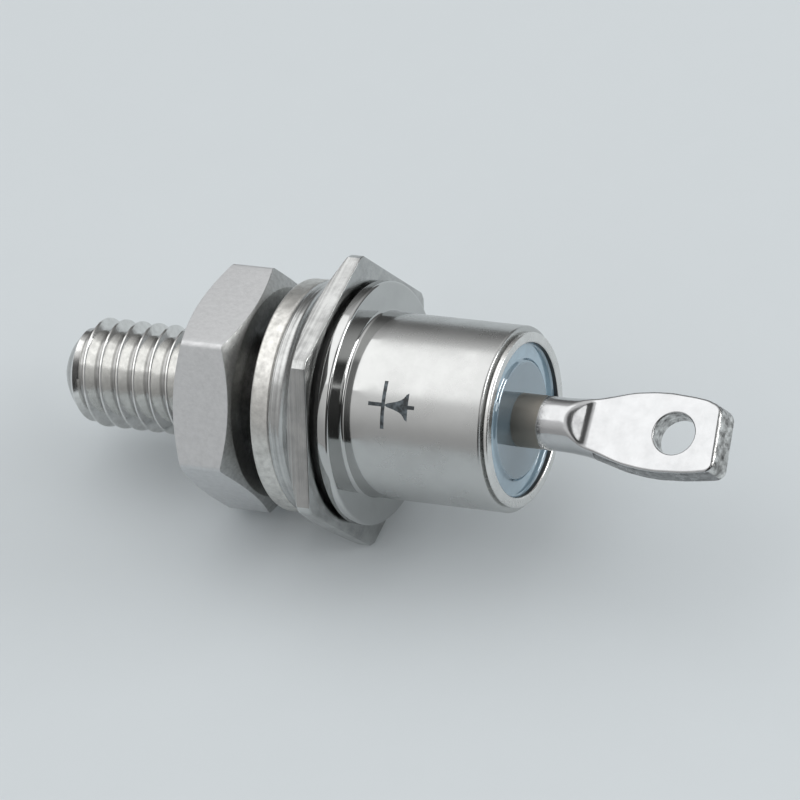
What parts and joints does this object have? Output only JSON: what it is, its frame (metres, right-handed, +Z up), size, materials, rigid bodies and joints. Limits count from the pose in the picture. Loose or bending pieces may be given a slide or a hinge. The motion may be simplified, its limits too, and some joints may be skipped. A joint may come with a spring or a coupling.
{
  "type": "stud diode",
  "caption": "Stud-mounted power diode: threaded stud with nut and washer, hexagon base, round metal can, glass seal and a flat solder lug with a hole.",
  "frame": {"origin": "centre of the footprint, on the floor under the lying diode", "axes": "+X along the diode's axis seen from above, towards the solder lug; +Z up. The diode lies as it comes to rest, on a flat of its hexagon and a corner of its nut, so its axis rises by 7 degrees towards the lug"},
  "size_m": [0.0304, 0.0126, 0.0111],
  "materials": {
    "nickel_copper": "turned copper, bright nickel plate",
    "nut_steel": "machined steel, dull plate",
    "washer_steel": "punched steel, tin plate",
    "ring_steel": "turned steel",
    "braze": "brazed silver alloy",
    "can_nickel": "drawn steel, satin nickel plate",
    "eyelet_nickel": "drawn steel, bright nickel plate",
    "seal_glass": "fused sealing glass",
    "tinned_lug": "flattened tube, tinned, bare at the root",
    "solder": "soft solder",
    "molybdenum": "punched sheet",
    "silicon": "lapped",
    "copper": "drawn wire",
    "silicone": "cured coating"
  },
  "bodies": {
    "root": {"stud_base": "nickel_copper", "hex_nut": "nut_steel", "washer": "washer_steel", "weld_ring": "ring_steel", "ring_braze": "braze", "can": "can_nickel", "seal_ring": "eyelet_nickel", "glass_seal": "seal_glass", "terminal": "tinned_lug", "base_solder": "solder", "lower_disc": "molybdenum", "die_solder": "solder", "die": "silicon", "top_solder": "solder", "upper_disc": "molybdenum", "lead_solder": "solder", "lead": "copper", "junction_coat": "silicone"}
  },
  "joints": []
}
